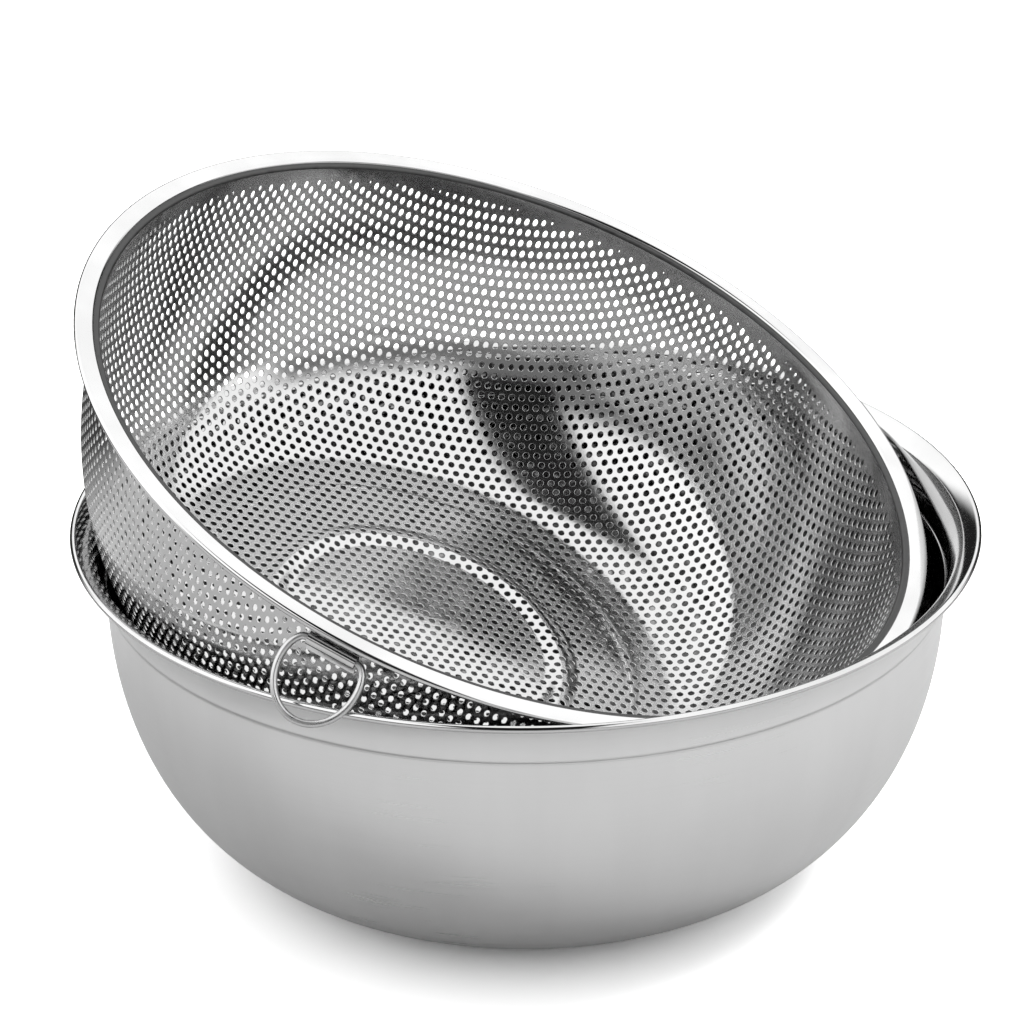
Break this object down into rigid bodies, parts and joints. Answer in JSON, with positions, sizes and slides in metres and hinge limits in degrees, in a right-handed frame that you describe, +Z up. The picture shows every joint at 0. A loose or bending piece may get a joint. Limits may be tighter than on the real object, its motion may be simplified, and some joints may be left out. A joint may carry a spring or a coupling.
{
  "type": "basket strainer",
  "caption": "Round perforated steel strainer basket with a rolled rim and a hanging ring, standing tilted inside a deep solid mixing bowl with a flared, rolled rim.",
  "frame": {"origin": "centre of the bowl's flat base, on the surface it stands on", "axes": "+Z up along the bowl's axis; the camera that shows the ring in front looks along +Y, with +X to its right; the basket leans down to its low side at about 30 degrees from +X towards -Y"},
  "size_m": [0.28, 0.28, 0.192],
  "materials": {
    "bowl_steel": "stainless steel, satin brushed outside, mirror polished inside and on the rim",
    "screen_steel": "polished stainless steel sheet punched with small round holes in a hexagonal pattern",
    "rim_steel": "mirror polished stainless steel strip, rolled over the edge",
    "clip_steel": "polished stainless steel strap, folded",
    "wire_steel": "bright drawn stainless steel wire"
  },
  "bodies": {
    "mixing_bowl": {"bowl": "bowl_steel"},
    "strainer_basket": {"strainer_screen": "screen_steel", "rim_hoop": "rim_steel", "ring_clip": "clip_steel"},
    "ring": {"hanging_ring": "wire_steel"}
  },
  "joints": [
    {"name": "basket_lift", "type": "slide", "parent": "mixing_bowl", "child": "strainer_basket", "axis": [0, 0, 1], "range_m": [0, 0.15]},
    {"name": "ring_swing", "type": "hinge", "parent": "strainer_basket", "child": "ring", "pos_m": [-0.05481, -0.12131, 0.12377], "axis": [-0.8712, 0.3084, 0.382], "range_deg": [0, 90]}
  ]
}
